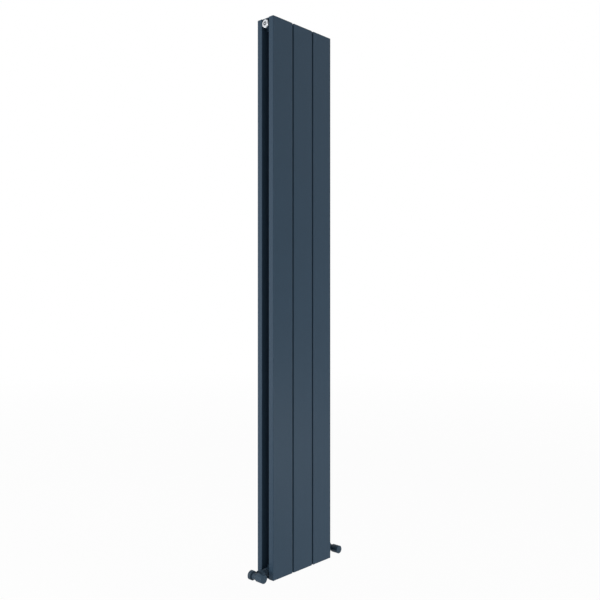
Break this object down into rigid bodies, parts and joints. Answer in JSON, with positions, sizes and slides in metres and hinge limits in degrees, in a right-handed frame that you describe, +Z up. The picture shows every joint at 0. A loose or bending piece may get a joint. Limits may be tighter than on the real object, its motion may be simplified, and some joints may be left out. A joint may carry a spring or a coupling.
{
  "type": "radiator",
  "caption": "Tall flat-panel wall radiator in slate blue-grey, with headers between its front and rear panels, angled valves at its bottom corners and hook-on brackets.",
  "frame": {"origin": "centre of the wall fixings, on the wall's face", "axes": "+X to the right seen from the room, +Y into the wall, +Z up"},
  "size_m": [0.397, 0.1055, 1.8],
  "materials": {
    "paint": "satin",
    "valve_paint": "satin",
    "handle_plastic": "satin",
    "chrome_plate": "polished",
    "brass": "satin",
    "zinc_steel": "satin",
    "seal_rubber": "matte",
    "nylon": "matte"
  },
  "bodies": {
    "radiator": {"front_panel_left": "paint", "front_panel_left_caps": "paint", "front_panel_centre": "paint", "front_panel_centre_caps": "paint", "front_panel_right": "paint", "front_panel_right_caps": "paint", "rear_panel_left": "paint", "rear_panel_left_caps": "paint", "rear_panel_centre": "paint", "rear_panel_centre_caps": "paint", "rear_panel_right": "paint", "rear_panel_right_caps": "paint", "top_header": "paint", "bottom_header": "paint", "top_left_header_end": "paint", "top_right_header_end": "paint", "bottom_left_header_end": "paint", "bottom_right_header_end": "paint", "flow_baffle": "zinc_steel", "vent_plug": "chrome_plate", "blank_plug": "chrome_plate", "vent_plug_seal": "seal_rubber", "blank_plug_seal": "seal_rubber", "left_tail": "valve_paint", "left_union_nut": "valve_paint", "left_valve_body": "valve_paint", "left_inlet_nut": "valve_paint", "left_olive": "brass", "left_bonnet": "brass", "left_tail_seal": "seal_rubber", "left_stem_seal": "seal_rubber", "right_tail": "valve_paint", "right_union_nut": "valve_paint", "right_valve_body": "valve_paint", "right_inlet_nut": "valve_paint", "right_olive": "brass", "right_bonnet": "brass", "right_tail_seal": "seal_rubber", "right_stem_seal": "seal_rubber", "upper_left_bracket": "zinc_steel", "upper_right_bracket": "zinc_steel", "lower_left_bracket": "zinc_steel", "lower_right_bracket": "zinc_steel", "hanger_studs": "zinc_steel", "hanger_sleeves": "nylon"},
    "left_handwheel": {"left_handle": "handle_plastic", "left_handle_screw": "zinc_steel", "left_handle_cover": "handle_plastic", "left_stem": "brass"},
    "left_valve_disc": {"left_disc_carrier": "brass", "left_valve_washer": "seal_rubber"},
    "right_cap": {"right_lockshield_cap": "handle_plastic"},
    "right_spindle": {"right_stem": "brass"},
    "right_valve_disc": {"right_disc_carrier": "brass", "right_valve_washer": "seal_rubber"},
    "air_bleed": {"bleed_screw": "chrome_plate"}
  },
  "joints": [
    {"name": "left_handle_turn", "type": "hinge", "parent": "radiator", "child": "left_handwheel", "pos_m": [-0.18375, -0.066, -0.8825], "axis": [0, -1, 0], "range_deg": [0, 900]},
    {"name": "left_disc_lift", "type": "slide", "parent": "radiator", "child": "left_valve_disc", "axis": [0, -1, 0], "range_m": [0, 0.003]},
    {"name": "right_cap_pull", "type": "slide", "parent": "radiator", "child": "right_cap", "axis": [0, -1, 0], "range_m": [0, 0.04]},
    {"name": "right_stem_turn", "type": "hinge", "parent": "radiator", "child": "right_spindle", "pos_m": [0.18375, -0.066, -0.8825], "axis": [0, -1, 0], "range_deg": [0, 900]},
    {"name": "right_disc_lift", "type": "slide", "parent": "radiator", "child": "right_valve_disc", "axis": [0, -1, 0], "range_m": [0, 0.003]},
    {"name": "bleed_turn", "type": "hinge", "parent": "radiator", "child": "air_bleed", "pos_m": [-0.14075, -0.066, 0.8825], "axis": [-1, 0, 0], "range_deg": [0, 270]}
  ],
  "couplings": [
    {"joint": "left_disc_lift", "follows": "left_handle_turn", "m_per_rad": 0.00019099},
    {"joint": "right_disc_lift", "follows": "right_stem_turn", "m_per_rad": 0.00019099}
  ]
}
